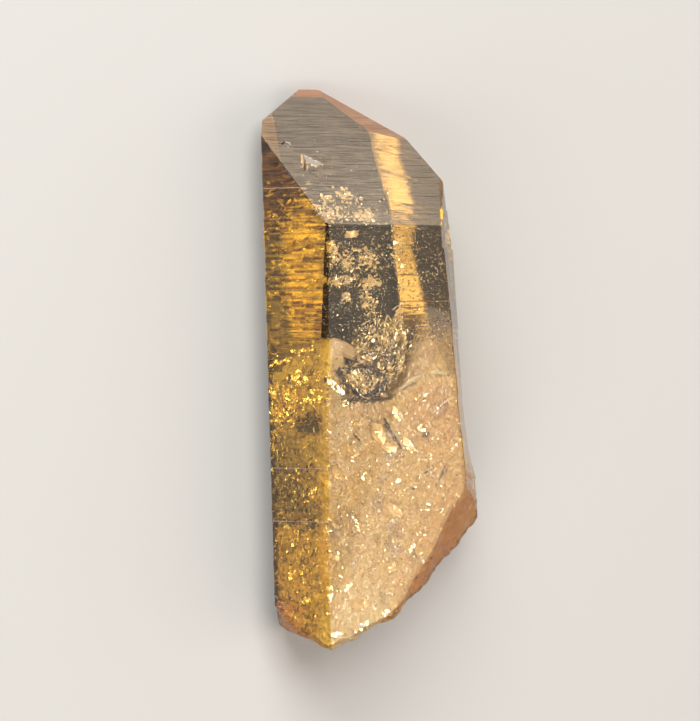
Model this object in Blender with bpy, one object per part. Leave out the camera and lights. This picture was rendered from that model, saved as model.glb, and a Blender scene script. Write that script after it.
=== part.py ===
"""Aura quartz: one golden quartz point with a thin metal coat, lying on the prism face under it.

The long axis of the crystal runs along Y, the tip is at +Y and the broken root at -Y. Each flat face is
given as crystal books give a habit: an azimuth round the long axis (0 is straight up, 90 is +X), a tilt
towards the tip, and a distance from the axis. The prism carries low growth ledges, and the root is cut
off by a rough break. The crystal rests on z = 0, and the origin is the centre of its footprint's box.
"""

import math
import random
from collections import namedtuple

import bmesh
import bpy
from mathutils import Matrix, Vector, noise

MM = 0.001
NEAR = 1e-7

# The crystal in millimetres, measured from the point on its long axis where the tip face starts.
Face = namedtuple("Face", "name azimuth tilt distance")
RESTING_HEIGHT = 7.5  # of the long axis above the resting face
AXIS = Vector((6.5, 0.0, RESTING_HEIGHT))
STACK_TOP = 20.0
STACK_END = -56.0

RHOMB_TILT = 38.2  # from a prism face to the tip face above it, the same on every quartz crystal
PRISM_FACES = (
    Face("top", 0.0, 0.0, 7.5),
    Face("upper_right", 60.0, 5.5, 11.4),
    Face("lower_right", 120.0, 6.2, 8.9),
    Face("bottom", 180.0, 0.0, RESTING_HEIGHT),
    Face("lower_left", 240.0, -1.8, 10.4),
    Face("upper_left", 300.0, 0.0, 9.4),
)
TIP_FACES = (
    Face("tip_main", 0.0, RHOMB_TILT, 5.9),
    Face("tip_lower_right", 124.5, 41.3, 13.1),
    Face("tip_bottom", 180.0, RHOMB_TILT, 15.7),
    Face("tip_lower_left", 237.0, 40.3, 16.7),
)
CHIP_FACES = (Face("root_chip", 302.0, -3.3, 12.0),)
BREAK_FACES = (
    Face("break_corner", 262.5, -32.0, 33.7),
    Face("break_left", 254.0, -65.0, 48.9),
    Face("break_middle", 102.5, -65.0, 44.2),
    Face("break_right", 107.0, -51.0, 38.3),
    Face("break_front", 39.5, -21.0, 24.3),
)

# Growth ledges: low steps across the prism faces, in mm. (mean spacing, step height) for each face.
LEDGE_SEED = 11
LEDGE_SPACING = (0.45, 1.9)
LEDGE_RISE = 0.10  # length along the axis over which a ledge steps in or out
LEDGE_HEIGHT = {
    "upper_left": 0.055,
    "lower_left": 0.055,
    "upper_right": 0.12,
    "lower_right": 0.15,
}
LEDGE_SHARE = {
    "upper_left": 0.85,
    "lower_left": 0.6,
    "upper_right": 0.45,
    "lower_right": 0.45,
}

# Extra growth along the right-hand corner, as (place along the axis, how far it stands out) in mm.
SWOLLEN_CORNER = ("upper_right", "lower_right")
SWELL = (
    (STACK_TOP, 0.25),
    (6.0, 0.38),
    (1.0, 0.42),
    (-1.8, 0.72),
    (-5.8, 0.50),
    (-10.0, 0.32),
    (-20.0, 0.0),
    (-28.0, 0.05),
    (-31.6, 0.72),
    (-35.0, 0.45),
    (STACK_END, 0.2),
)

# Corners between prism faces are worn to narrow flats. The one at the upper left is a facet of its own.
CORNER_WEAR = 0.10
SIDE_FACET_ON_TOP = 0.22
SIDE_FACET_WIDTHS = ((STACK_TOP, 0.28), (0.0, 0.30), (-14.0, 0.95), (-19.0, 0.14), (STACK_END, 0.12))
TIP_EDGE_WEAR = 0.045

# The break: a height field along the axis, in mm.
BREAK_CELL = 0.5
BREAK_X = (-9.0, 27.0)
BREAK_Z = (-2.0, 17.5)
BREAK_ROUGHNESS = 0.42
BREAK_GRAIN = 2.6
RIPPLE_CENTRE = Vector((1.0, 16.0))
RIPPLE_LENGTH = 1.9
RIPPLE_HEIGHT = 0.16

# Shallow growth pits on the tip face: (x, distance up the face, half width, half length, turn, depth).
TIP_PITS = (
    (0.55, 9.35, 1.45, 2.15, 24.0, 0.25),
    (-2.05, 13.05, 0.75, 0.60, 8.0, 0.10),
    (4.40, 4.30, 0.85, 0.50, -14.0, 0.12),
)
PIT_FLOOR = 0.62  # share of a pit's mouth that its floor keeps
PIT_OVERLAP = 0.3


def direction(azimuth, tilt=0.0):
    """The outward normal of a face."""
    a, t = math.radians(azimuth), math.radians(tilt)
    return Vector((math.sin(a) * math.cos(t), math.sin(t), math.cos(a) * math.cos(t)))


def across(azimuth):
    """The outward direction of a prism face in its cross-section, as (x, z)."""
    a = math.radians(azimuth)
    return Vector((math.sin(a), math.cos(a)))


def clear_scene():
    for obj in list(bpy.data.objects):
        bpy.data.objects.remove(obj)


def add_object(name, bm, parent=None):
    """Links a mesh object made from millimetres, and frees the bmesh."""
    bmesh.ops.recalc_face_normals(bm, faces=bm.faces)
    bmesh.ops.transform(bm, matrix=Matrix.Scale(MM, 4), verts=bm.verts)
    mesh = bpy.data.meshes.new(name)
    bm.to_mesh(mesh)
    bm.free()
    obj = bpy.data.objects.new(name, mesh)
    bpy.context.scene.collection.objects.link(obj)
    obj.parent = parent
    return obj


def golden_quartz():
    mat = bpy.data.materials.new("golden_aura_quartz")
    mat.use_nodes = True
    shader = mat.node_tree.nodes["Principled BSDF"]
    shader.inputs["Base Color"].default_value = (0.78, 0.50, 0.17, 1.0)
    shader.inputs["Roughness"].default_value = 0.08
    shader.inputs["Metallic"].default_value = 0.0
    shader.inputs["IOR"].default_value = 1.544
    shader.inputs["Transmission Weight"].default_value = 0.85
    mat.diffuse_color = (0.78, 0.50, 0.17, 1.0)
    return mat


def ledge_levels():
    """Levels from tip to root, each with the step in or out of every prism face just below it."""
    rng = random.Random(LEDGE_SEED)
    steps = {face.name: 0.0 for face in PRISM_FACES}
    levels = []
    y = STACK_TOP
    while y > STACK_END:
        levels.append((y, dict(steps)))
        y -= rng.uniform(*LEDGE_SPACING)
        for name, height in LEDGE_HEIGHT.items():
            if rng.random() < LEDGE_SHARE[name]:
                steps[name] = rng.uniform(-height, height)
    levels.append((STACK_END, dict(steps)))
    return levels


def size_at(y, table):
    """A size read from (y, size) pairs that run from tip to root."""
    for (y0, size0), (y1, size1) in zip(table, table[1:]):
        if y >= y1:
            return size0 + (size1 - size0) * (y0 - y) / (y0 - y1)
    return table[-1][1]


def reach(face, y, steps):
    """How far a prism face lies from the axis at a level."""
    t = math.radians(face.tilt)
    return (face.distance - math.sin(t) * y) / math.cos(t) + steps[face.name]


def corner(first, second, y, steps):
    """Where two neighbouring prism faces meet at a level, as (x, z)."""
    a, b = across(first.azimuth)
    c, d = across(second.azimuth)
    reach1, reach2 = (reach(face, y, steps) for face in (first, second))
    det = a * d - b * c
    x = (reach1 * d - reach2 * b) / det
    z = (a * reach2 - c * reach1) / det
    swell = size_at(y, SWELL) if (first.name, second.name) == SWOLLEN_CORNER else 0.0
    return Vector((AXIS.x + x + swell, AXIS.z + z))


def ring(y, steps):
    """The prism's outline at one level, with each corner worn to two points."""
    points = []
    count = len(PRISM_FACES)
    for i, face in enumerate(PRISM_FACES):
        after = PRISM_FACES[(i + 1) % count]
        here = corner(face, after, y, steps)
        along_face, along_after = (Vector((d.y, -d.x)) for d in map(across, (face.azimuth, after.azimuth)))
        back, ahead = CORNER_WEAR, CORNER_WEAR
        if after.name == "top":
            back, ahead = size_at(y, SIDE_FACET_WIDTHS), SIDE_FACET_ON_TOP
        points.append(here - along_face * back)
        points.append(here + along_after * ahead)
    return [Vector((p.x, y, p.y)) for p in points]


def prism_stack():
    """The prism as a stack of outlines, two at each ledge, closed at both ends."""
    bm = bmesh.new()
    levels = ledge_levels()
    rings = []
    for (y, steps), (below, _) in zip(levels, levels[1:]):
        rings.append(ring(y, steps))
        rings.append(ring(min(below + LEDGE_RISE, y - NEAR), steps))
    rings.append(ring(*levels[-1]))
    loops = [[bm.verts.new(p) for p in points] for points in rings]
    for upper, lower in zip(loops, loops[1:]):
        for i in range(len(upper)):
            j = (i + 1) % len(upper)
            bm.faces.new((upper[i], upper[j], lower[j], lower[i]))
    bm.faces.new(loops[0])
    bm.faces.new(loops[-1])
    bmesh.ops.recalc_face_normals(bm, faces=bm.faces)
    return bm


def cut(bm, normal, point):
    """Cuts off what lies outside a plane and closes the cut with one flat face."""
    geometry = bm.verts[:] + bm.edges[:] + bm.faces[:]
    made = bmesh.ops.bisect_plane(
        bm, geom=geometry, dist=1e-5, plane_co=point, plane_no=normal, clear_outer=True
    )
    rim = [g for g in made["geom_cut"] if isinstance(g, bmesh.types.BMEdge)]
    bmesh.ops.contextual_create(bm, geom=rim)


def cut_face(bm, face):
    normal = direction(face.azimuth, face.tilt)
    cut(bm, normal, AXIS + normal * face.distance)


def wear_edge(bm, first, second, depth):
    """Cuts a narrow flat along the edge between two faces."""
    a, b = (direction(f.azimuth, f.tilt) for f in (first, second))
    halfway = (a + b).normalized()
    # The point of the edge nearest the axis point is u*a + v*b.
    dot = a.dot(b)
    u = (first.distance - second.distance * dot) / (1 - dot * dot)
    v = (second.distance - first.distance * dot) / (1 - dot * dot)
    cut(bm, halfway, AXIS + u * a + v * b - halfway * depth)


def tidy_flats(bm):
    """Joins the pieces of each flat face that ledges on its neighbours have cut it into."""
    bmesh.ops.remove_doubles(bm, verts=bm.verts, dist=1e-5)
    bmesh.ops.dissolve_limit(
        bm, angle_limit=math.radians(0.05), verts=bm.verts, edges=bm.edges, use_dissolve_boundaries=False
    )


def crystal_body(parent):
    bm = prism_stack()
    for face in TIP_FACES + CHIP_FACES:
        cut_face(bm, face)
    main = TIP_FACES[0]
    for neighbour in TIP_FACES[1:] + PRISM_FACES[:3] + PRISM_FACES[4:]:
        wear_edge(bm, main, neighbour, TIP_EDGE_WEAR)
    tidy_flats(bm)
    return add_object("quartz_crystal", bm, parent)


def break_height(x, z):
    """How far down the axis the root reaches at (x, z), in mm along Y."""
    planes = []
    for face in BREAK_FACES:
        n = direction(face.azimuth, face.tilt)
        planes.append((face.distance - n.x * (x - AXIS.x) - n.z * (z - AXIS.z)) / n.y)
    rough = noise.hetero_terrain(Vector((x, 0.0, z)) / BREAK_GRAIN, 0.9, 2.2, 4, 0.4)
    from_strike = (Vector((x, z)) - RIPPLE_CENTRE).length
    ripple = RIPPLE_HEIGHT * abs(math.sin(math.pi * from_strike / RIPPLE_LENGTH))
    return max(planes) + BREAK_ROUGHNESS * (rough - 0.5) - ripple


def break_cutter(parent):
    """A block whose tip side is the rough break. It takes away the root end of the stack."""
    bm = bmesh.new()
    columns = round((BREAK_X[1] - BREAK_X[0]) / BREAK_CELL)
    rows = round((BREAK_Z[1] - BREAK_Z[0]) / BREAK_CELL)
    far = STACK_END - 2.0
    grid = []
    for j in range(rows + 1):
        z = BREAK_Z[0] + (BREAK_Z[1] - BREAK_Z[0]) * j / rows
        line = []
        for i in range(columns + 1):
            x = BREAK_X[0] + (BREAK_X[1] - BREAK_X[0]) * i / columns
            line.append(bm.verts.new((x, max(break_height(x, z), far + 1.0), z)))
        grid.append(line)
    for j in range(rows):
        for i in range(columns):
            bm.faces.new((grid[j][i], grid[j][i + 1], grid[j + 1][i + 1], grid[j + 1][i]))
    bmesh.ops.triangulate(bm, faces=bm.faces)
    rim = [e for e in bm.edges if e.is_boundary]
    walls = bmesh.ops.extrude_edge_only(bm, edges=rim)["geom"]
    for vert in (g for g in walls if isinstance(g, bmesh.types.BMVert)):
        vert.co.y = far
    bmesh.ops.holes_fill(bm, edges=[e for e in bm.edges if e.is_boundary])
    return helper(add_object("break_cutter", bm, parent))


def pit_cutters(parent):
    """One flat-floored, slant-sided pit cutter for each growth pit on the main tip face."""
    normal = direction(0.0, RHOMB_TILT)
    up_face = Vector((0.0, math.cos(math.radians(RHOMB_TILT)), -math.sin(math.radians(RHOMB_TILT))))
    start = Vector((0.0, 0.0, 2 * RESTING_HEIGHT))
    bm = bmesh.new()
    for x, up, half_width, half_length, turn, depth in TIP_PITS:
        centre = start + Vector((x, 0.0, 0.0)) + up_face * up
        c, s = math.cos(math.radians(turn)), math.sin(math.radians(turn))
        wide = Vector((c, 0.0, 0.0)) + up_face * s
        long = up_face * c - Vector((s, 0.0, 0.0))
        loops = []
        for height, share in ((PIT_OVERLAP, 1.0), (0.0, 1.0), (-depth, PIT_FLOOR)):
            corners = (wide * half_width, long * half_length, -wide * half_width, -long * half_length)
            loops.append([bm.verts.new(centre + normal * height + corner * share) for corner in corners])
        for upper, lower in zip(loops, loops[1:]):
            for i in range(4):
                j = (i + 1) % 4
                bm.faces.new((upper[i], upper[j], lower[j], lower[i]))
        bm.faces.new(loops[0])
        bm.faces.new(loops[-1])
    return helper(add_object("tip_pit_cutters", bm, parent))


def helper(obj):
    obj.hide_render = True
    obj.display_type = "WIRE"
    return obj


def subtract(target, cutter):
    modifier = target.modifiers.new(cutter.name, "BOOLEAN")
    modifier.operation = "DIFFERENCE"
    modifier.solver = "EXACT"
    modifier.object = cutter


def centre_footprint(parent, obj):
    """Moves the specimen so that the centre of its box, on the surface it lies on, is the origin."""
    bpy.context.view_layer.update()
    graph = bpy.context.evaluated_depsgraph_get()
    corners = [obj.matrix_world @ Vector(c) for c in obj.evaluated_get(graph).bound_box]
    low = Vector(map(min, *corners))
    high = Vector(map(max, *corners))
    parent.location = Vector((-(low.x + high.x) / 2, -(low.y + high.y) / 2, -low.z))
    bpy.context.view_layer.update()


def main():
    clear_scene()
    specimen = bpy.data.objects.new("specimen", None)
    bpy.context.scene.collection.objects.link(specimen)
    crystal = crystal_body(specimen)
    subtract(crystal, break_cutter(specimen))
    subtract(crystal, pit_cutters(specimen))
    crystal.data.materials.append(golden_quartz())
    centre_footprint(specimen, crystal)


main()
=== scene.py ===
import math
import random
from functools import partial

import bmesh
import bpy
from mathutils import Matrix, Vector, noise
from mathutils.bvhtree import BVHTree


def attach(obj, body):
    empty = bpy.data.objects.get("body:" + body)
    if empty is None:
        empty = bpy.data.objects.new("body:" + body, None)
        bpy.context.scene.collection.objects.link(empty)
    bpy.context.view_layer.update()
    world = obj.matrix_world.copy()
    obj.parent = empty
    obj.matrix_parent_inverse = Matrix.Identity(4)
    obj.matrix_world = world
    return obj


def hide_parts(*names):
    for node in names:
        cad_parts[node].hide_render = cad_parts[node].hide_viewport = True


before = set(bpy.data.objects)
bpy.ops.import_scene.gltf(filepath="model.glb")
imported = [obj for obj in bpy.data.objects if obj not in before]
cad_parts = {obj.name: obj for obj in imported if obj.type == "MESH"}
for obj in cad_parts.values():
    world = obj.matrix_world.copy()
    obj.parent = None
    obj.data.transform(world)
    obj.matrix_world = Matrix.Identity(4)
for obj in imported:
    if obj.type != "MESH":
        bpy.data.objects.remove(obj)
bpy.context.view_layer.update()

# The looks of a golden aura quartz point that lies on one of its prism faces.
#
# The crystal is clear golden quartz under a thin grey coat of metal. Its tip half is see-through. Its root
# half is full of cracks, which lie round a milky heart and end towards the tip in a curved main fracture.
# Shapes are given in millimetres from the left end of the edge between the top face and the tip face: X to
# the right, Y towards the tip, and Z up from the surface that the crystal lies on. Materials see the frame's
# own places.

MM = 0.001
NODE = "quartz_crystal"
TIP_EDGE_END = Vector((-8.952, 17.475, 0.0))  # in the frame, in mm
THICKNESS = 15.0  # from the resting face to the top face

QUARTZ_IOR = 1.63  # a little over the 1.544 of quartz, to widen the mirrors inside it
FACE_KINDS = ("coated", "golden", "broken", "frosted_with_painted_glow", "striated", "painted_shade_under", "pitted", "worn")
CRACK_KINDS = ("open", "healed", "bright", "stained")
SHADE, CRAZING = "shade", "crazing"
RHOMB_TILT = 38.2  # of the tip face from the top face
TIP_RUN = 1.0 / math.tan(math.radians(RHOMB_TILT))  # how far the tip face runs for 1 mm of fall

IMAGE_SIZE = (700, 721)
PIXEL_MM = 0.125  # what one pixel covers at the crystal's middle
CAMERA_TILT = 23.7  # from straight down, towards the side with the striated face
CAMERA_DISTANCE = 600.0
CAMERA_AIM = Vector((6.36, -16.69, 7.44))
SENSOR_MM = 36.0
PANEL_DISTANCE = 0.7  # of each soft light from the crystal, in metres


def at(x, y, z):
    """A place in millimetres from the tip edge's left end, as a place in the frame."""
    return (Vector((x, y, z)) + TIP_EDGE_END) * MM


def to_mm(point):
    """The other way round."""
    return point / MM - TIP_EDGE_END


def link(obj):
    bpy.context.scene.collection.objects.link(obj)
    return obj


def add_mesh(name, bm, mat):
    """Makes an object from a bmesh in metres."""
    mesh = bpy.data.meshes.new(name)
    bm.to_mesh(mesh)
    bm.free()
    mesh.materials.append(mat)
    return link(bpy.data.objects.new(name, mesh))


def add_piece(name, bm, mat, node=None):
    """Adds a mesh that rides with the crystal, and may stand for a node of it."""
    obj = add_mesh(name, bm, mat)
    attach(obj, "root")
    if node:
        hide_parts(node)


# ---- Materials ----


def colour(code):
    """An sRGB hex colour as linear RGBA."""
    channels = (int(code[i : i + 2], 16) / 255 for i in (0, 2, 4))
    linear = (c / 12.92 if c <= 0.04045 else ((c + 0.055) / 1.055) ** 2.4 for c in channels)
    return (*linear, 1.0)


def add_node(tree, kind, inputs=None, **settings):
    """Adds a shader node. An input is a value, a hex colour, an output, or a node for its first output."""
    node = tree.nodes.new("ShaderNode" + kind)
    for key, value in settings.items():
        setattr(node, key, value)
    for key, value in (inputs or {}).items():
        if isinstance(value, bpy.types.Node):
            value = value.outputs[0]
        if isinstance(value, bpy.types.NodeSocket):
            tree.links.new(value, node.inputs[key])
        else:
            node.inputs[key].default_value = colour(value) if isinstance(value, str) else value
    return node


def per_mm(size):
    """A texture scale whose features are this many millimetres across."""
    return 1.0 / (size * MM)


def stretched(*sizes):
    """A mapping's scale whose features have these sizes in X, Y and Z, in millimetres."""
    return [per_mm(size) for size in sizes]


def new_material(name):
    """An empty material, and add_node for its tree."""
    mat = bpy.data.materials.new(name)
    mat.use_nodes = True
    mat.node_tree.nodes.clear()
    return mat, partial(add_node, mat.node_tree)


def golden_aura_quartz():
    """Golden quartz, grown with flat faces and then coated with metal vapour in a vacuum. The tip caught
    most of the vapour and has a grey sheen; the sides stayed clear gold. The faces it lies on are painted
    nearly black, as painted shade that darkens what is seen through them."""
    mat, add = new_material("golden_aura_quartz")
    where = add("TexCoord").outputs["Object"]
    place = add("SeparateXYZ", {"Vector": where})
    kind = {name: add("Attribute", attribute_name=name).outputs["Fac"] for name in FACE_KINDS}

    # Iron from the ground reddens the broken root.
    rust = add("TexNoise", {"Vector": where, "Scale": per_mm(0.9), "Detail": 6.0})
    stain = add("Mix", {0: rust, 6: "FFE290", 7: "F0A834"}, data_type="RGBA")

    # The metal on the sides lets gold light through. Dark patches are painted on some of the little
    # terraces, which are about 0.9 mm in X by 0.34 mm in Y, as painted shade. Towards the root the patches
    # fade and the gold is paler.
    wander = add("TexNoise", {"Vector": where, "Scale": per_mm(1.5), "Detail": 2.0})
    shift = add("VectorMath", {0: wander.outputs["Color"], 1: (1.6 * MM, 0.0, 0.0)}, operation="MULTIPLY")
    shifted = add("VectorMath", {0: where, 1: shift}, operation="ADD")
    blocks = add("Mapping", {"Vector": shifted, "Scale": stretched(0.9, 0.34, 60.0)})
    block = add("VectorMath", {0: blocks}, operation="FLOOR")
    draw = add("TexWhiteNoise", {"Vector": block})
    broad = add("Math", {0: wander.outputs["Fac"], 1: 0.9, 2: -0.3}, operation="MULTIPLY_ADD")
    thick = add("Math", {0: draw.outputs["Value"], 1: broad}, operation="ADD")
    patches = add("MapRange", {"Value": thick, "From Min": 0.40, "From Max": 1.0})
    tip_half = {"Value": place.outputs["Y"], "From Min": 2.0 * MM, "From Max": 4.5 * MM, "To Min": 0.3}
    towards_tip = add("MapRange", tip_half)
    painted_shade_patches = add("Math", {0: patches, 1: towards_tip}, operation="MULTIPLY")
    thin = add("Mix", {0: towards_tip, 6: "FFE27C", 7: "FFDC4C"}, data_type="RGBA")
    # Painted shade: the dark patches on the side faces, strongest towards the tip.
    gold = add("Mix", {0: painted_shade_patches, 6: thin.outputs[2], 7: "5E4210"}, data_type="RGBA")

    # Each kind of surface covers the ones before it. On the top the metal only dims the light.
    tint = "FBF2E0"
    for share, cover in (
        (kind["golden"], gold.outputs[2]),
        # Painted light: the frosted lower tip faces are orange, standing in for the orange light seen in
        # them through the crystal.
        (kind["frosted_with_painted_glow"], "FF9054"),
        (kind["broken"], stain.outputs[2]),
        # Painted shade: the face the crystal lies on and the lower left face are nearly black, which darkens
        # the floor seen through them.
        (kind["painted_shade_under"], "221B14"),
        (kind["worn"], "776A5C"),
    ):
        tint = add("Mix", {0: share, 6: tint, 7: cover}, data_type="RGBA").outputs[2]

    # Fine growth lines lie across the crystal.
    stripes = add("Mapping", {"Vector": where, "Scale": stretched(11.0, 0.5, 11.0)})
    lines = add("TexNoise", {"Vector": stripes, "Scale": 1.0, "Detail": 4.0})
    # The top face is flat between scattered etch pits, about 0.2 mm wide.
    pits = add("TexVoronoi", {"Vector": where, "Scale": per_mm(0.3)})
    bowl = {"Value": pits.outputs["Distance"], "From Max": 0.4, "To Min": 1.0, "To Max": 0.0}
    bowl = add("MapRange", bowl)
    chance = add("SeparateColor", {"Color": pits.outputs["Color"]})
    etched = add("Math", {0: chance.outputs["Red"], 1: 0.45}, operation="GREATER_THAN")
    bowls = add("Math", {0: bowl, 1: etched}, operation="MULTIPLY")
    # The break is gritty.
    grit = add("TexNoise", {"Vector": where, "Scale": per_mm(0.35), "Detail": 5.0})
    relief = {}
    for height, share, deep, dented in (
        (lines.outputs["Fac"], kind["striated"], 0.12 * MM, False),
        (bowls.outputs[0], kind["pitted"], 0.04 * MM, True),
        (grit.outputs["Fac"], kind["broken"], 0.3 * MM, False),
    ):
        shared = add("Math", {0: height, 1: share}, operation="MULTIPLY")
        bump = add("Bump", {"Height": shared, "Distance": deep, **relief}, invert=dented)
        relief = {"Normal": bump}

    # The frosted lower tip faces and the worn pit walls are matt, and the break a little.
    matt = add("Math", {0: kind["broken"], 1: 0.08, 2: kind["frosted_with_painted_glow"]}, operation="MULTIPLY_ADD")
    matt = add("Math", {0: kind["worn"], 1: 0.6, 2: matt}, operation="MULTIPLY_ADD")
    rough = add("MapRange", {"Value": matt, "To Min": 0.02, "To Max": 0.6})
    cloudy = add("Math", {0: kind["frosted_with_painted_glow"], 1: 0.8, 2: kind["worn"]}, operation="MULTIPLY_ADD")
    clear = add("MapRange", {"Value": cloudy, "To Min": 1.0, "To Max": 0.15})

    # The metal on the tip face is thicker on some growth lines, thickest towards the lower edge, and thins
    # out towards the right.
    brushed = add("Mapping", {"Vector": where, "Scale": stretched(4.0, 0.26, 4.0)})
    streaks = add("TexNoise", {"Vector": brushed, "Scale": 1.0, "Detail": 6.0, "Roughness": 0.8})
    metal = kind["coated"]
    for value, start, end, least, most in (
        (streaks.outputs["Fac"], 0.44, 0.62, 0.0, 0.3),
        (place.outputs["Y"], 33.0 * MM, 17.5 * MM, 0.35, 1.0),
        (place.outputs["X"], 1.0 * MM, 6.0 * MM, 1.0, 0.4),
    ):
        span = {"Value": value, "From Min": start, "From Max": end, "To Min": least, "To Max": most}
        part = add("MapRange", span)
        metal = add("Math", {0: metal, 1: part}, operation="MULTIPLY").outputs[0]

    coated = {
        "Base Color": tint,
        "Roughness": rough,
        "IOR": QUARTZ_IOR,
        "Transmission Weight": clear,
        "Metallic": metal,
        "Coat Weight": kind["coated"],
        "Coat IOR": 1.8,
        "Coat Roughness": 0.03,
        **relief,
    }
    depth = add("VolumeAbsorption", {"Color": "EBDB81", "Density": 60.0})
    add("OutputMaterial", {"Surface": add("BsdfPrincipled", coated), "Volume": depth})
    return mat


def air_in_cracks():
    """Air in a crack inside the quartz. Its walls are clear seen straight on and mirror-bright aslant."""
    mat, add = new_material("air_in_cracks")
    wall = {"Base Color": "FFFFFF", "Roughness": 0.02, "IOR": 1.0 / QUARTZ_IOR, "Transmission Weight": 1.0}
    add("OutputMaterial", {"Surface": add("BsdfPrincipled", wall)})
    return mat


def pearly_cracks():
    """Healed cracks, part closed by thin films of quartz that mirror the light like mica."""
    mat, add = new_material("pearly_healed_cracks")
    where = add("TexCoord").outputs["Object"]
    patches = add("TexNoise", {"Vector": where, "Scale": per_mm(0.6), "Detail": 4.0})
    tone = add("Mix", {0: patches, 6: "FFE8A8", 7: "F8C880"}, data_type="RGBA")
    film = {"Base Color": tone.outputs[2], "Metallic": 0.22, "Roughness": 0.2}
    add("OutputMaterial", {"Surface": add("BsdfPrincipled", film)})
    return mat


def crushed_quartz():
    """Quartz full of cracks in every direction: a warm white like candied sugar, mottled with honey brown
    where less light comes back. Its little crack walls glint. Iron turns it orange near the root."""
    mat, add = new_material("crushed_quartz")
    where = add("TexCoord").outputs["Object"]
    shade = add("Attribute", attribute_name=SHADE)
    crazed = add("Attribute", attribute_name=CRAZING).outputs["Fac"]
    cloud = add("TexNoise", {"Vector": where, "Scale": per_mm(1.1), "Detail": 8.0, "Roughness": 0.75})
    light = {"Value": cloud, "From Min": 0.34, "From Max": 0.6, "To Min": 0.8, "To Max": 1.04}
    light = add("MapRange", light)
    tone = add("VectorMath", {0: shade, "Scale": light}, operation="SCALE")

    # Painted shade: deep gaps between the walls, where less light comes back, are painted honey brown. They
    # are about 0.4 mm wide and lie scattered, a little denser and darker under the striated side.
    gaps = {"Vector": where, "Scale": per_mm(0.75), "Detail": 5.0, "Roughness": 0.7, "Distortion": 0.8}
    gaps = add("TexNoise", gaps)
    place = add("SeparateXYZ", {"Vector": where})
    left = add("MapRange", {"Value": place.outputs["X"], "From Min": -8.6 * MM, "From Max": -9.3 * MM})
    gap_shade_mask = add("Math", {0: left, 1: 0.07, 2: gaps}, operation="MULTIPLY_ADD")
    deep = add("MapRange", {"Value": gap_shade_mask, "From Min": 0.56, "From Max": 0.66})
    brown = add("Mix", {0: left, 6: "C89450", 7: "6A4A1C"}, data_type="RGBA")
    mottled = add("Mix", {0: deep, 6: tone, 7: brown.outputs[2]}, data_type="RGBA")

    # Crack walls of about 0.5 by 0.2 mm, bent out of shape by a noise of 2 mm.
    bend = add("TexNoise", {"Vector": where, "Scale": per_mm(2.0), "Detail": 3.0})
    shift = add("VectorMath", {0: bend.outputs["Color"], "Scale": 3.0 * MM}, operation="SCALE")
    bent = add("VectorMath", {0: where, 1: shift}, operation="ADD")
    slim = add("Mapping", {"Vector": bent, "Scale": stretched(0.2, 0.5, 0.3)})
    walls = add("TexVoronoi", {"Vector": slim, "Scale": 1.0})
    lean = add("VectorMath", {0: walls.outputs["Color"], 1: (0.5, 0.5, 0.5)}, operation="SUBTRACT")
    steep = add("VectorMath", {0: lean, "Scale": crazed}, operation="SCALE")
    straight = add("NewGeometry").outputs["Normal"]
    slanted = add("VectorMath", {0: straight, 1: steep}, operation="ADD")
    normal = add("VectorMath", {0: slanted}, operation="NORMALIZE")
    crushed = {"Base Color": mottled.outputs[2], "Roughness": 0.3, "IOR": 2.4, "Normal": normal}
    add("OutputMaterial", {"Surface": add("BsdfPrincipled", crushed)})
    return mat


def plain_material(name, code, roughness, metallic=0.0):
    mat, add = new_material(name)
    finish = {"Base Color": code, "Roughness": roughness, "Metallic": metallic}
    add("OutputMaterial", {"Surface": add("BsdfPrincipled", finish)})
    return mat


def bright_cracks():
    """Cracks that lie aslant, where the light turns back as from a mirror."""
    return plain_material("bright_cracks", "FFF0C4", 0.15, 0.85)


def iron_stain():
    """Iron oxide that seeped into cracks: a dark brown film, dull like old rust."""
    return plain_material("iron_stain", "4E3818", 0.35)


def pale_table():
    """A table top of matt painted board: pale grey, with no gloss, so that only soft shadows show on it."""
    return plain_material("pale_table", "B2AFAA", 0.7)


# ---- The crystal's own surface ----

WELD = 0.002 * MM  # corners nearer than this are one
FLAT, SAME_FACE = 0.999, 0.99  # cosines of how far normals may turn on a perfect face, and on a worn one


def cad_mesh():
    """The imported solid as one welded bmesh, in metres."""
    bm = bmesh.new()
    bm.from_mesh(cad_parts[NODE].data)
    bmesh.ops.remove_doubles(bm, verts=bm.verts, dist=WELD)
    return bm


def normal_of(azimuth, tilt=0.0):
    """A face's outward normal, from its azimuth round the long axis and its tilt towards the tip."""
    a, t = math.radians(azimuth), math.radians(tilt)
    return Vector((math.sin(a) * math.cos(t), math.sin(t), math.cos(a) * math.cos(t)))


TOP, TIP = normal_of(0.0), normal_of(0.0, RHOMB_TILT)

# The faces of the break: azimuth, tilt and distance in mm from AXIS. A face belongs to the break where it
# lies less than BREAK_DEPTH under one of them and faces nearly the same way.
AXIS = Vector((6.5, 0.0, THICKNESS / 2))
BREAK_FACES = (
    (262.5, -32.0, 33.7),
    (254.0, -65.0, 48.9),
    (102.5, -65.0, 44.2),
    (107.0, -51.0, 38.3),
    (39.5, -21.0, 24.3),
)
BREAK_DEPTH = 1.0
NEARLY_SAME_WAY = 0.55
# The larger pits in the tip face: their middle (x, y) and radius in mm.
PITS = (((0.55, 9.35), 1.9), ((-2.05, 13.05), 1.1), ((4.4, 4.3), 0.9))


def on_break(face):
    centre = to_mm(face.calc_center_median()) - AXIS
    faces = ((normal_of(azimuth, tilt), distance) for azimuth, tilt, distance in BREAK_FACES)
    return any(
        centre.dot(normal) > distance - BREAK_DEPTH and face.normal.dot(normal) > NEARLY_SAME_WAY
        for normal, distance in faces
    )


def in_pit(face):
    centre = to_mm(face.calc_center_median())
    if face.normal.dot(TIP) > 0.95:
        return False
    return any((centre.xy - Vector(middle)).length < radius for middle, radius in PITS)


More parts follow.
